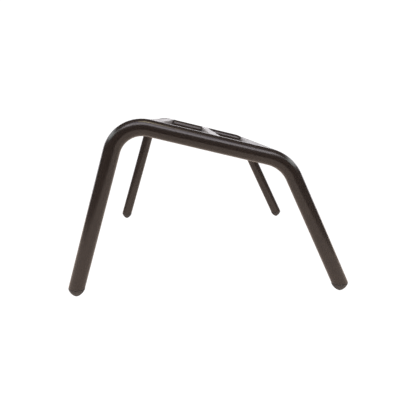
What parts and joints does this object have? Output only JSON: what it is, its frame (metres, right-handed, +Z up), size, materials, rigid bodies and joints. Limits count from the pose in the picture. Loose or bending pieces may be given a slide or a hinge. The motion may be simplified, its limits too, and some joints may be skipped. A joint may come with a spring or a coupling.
{
  "type": "lounge chair base",
  "caption": "Low tubular steel base for a lounge chair: bent-tube side frames with splayed legs on domed glides, joined by cross bars under a seat that slopes to the rear.",
  "frame": {"origin": "on the floor under the middle of the object's box", "axes": "+X to the rear, the low side, +Y to the sitter's right, across the base and along the cross bars, +Z up"},
  "size_m": [0.4629, 0.4914, 0.2824],
  "materials": {
    "dark_powder_coat": "satin powder coat, dark warm bronze-black, fine orange peel",
    "glide_plastic": "moulded black plastic, lightly scuffed where it meets the floor"
  },
  "bodies": {
    "root": {"left_side_frame": "dark_powder_coat", "right_side_frame": "dark_powder_coat", "front_cross_bar": "dark_powder_coat", "middle_cross_bar": "dark_powder_coat", "rear_cross_bar": "dark_powder_coat", "weld_front_left": "dark_powder_coat", "weld_front_right": "dark_powder_coat", "weld_middle_left": "dark_powder_coat", "weld_middle_right": "dark_powder_coat", "weld_rear_left": "dark_powder_coat", "weld_rear_right": "dark_powder_coat", "glide_front_left": "glide_plastic", "glide_front_right": "glide_plastic", "glide_rear_left": "glide_plastic", "glide_rear_right": "glide_plastic"}
  },
  "joints": []
}
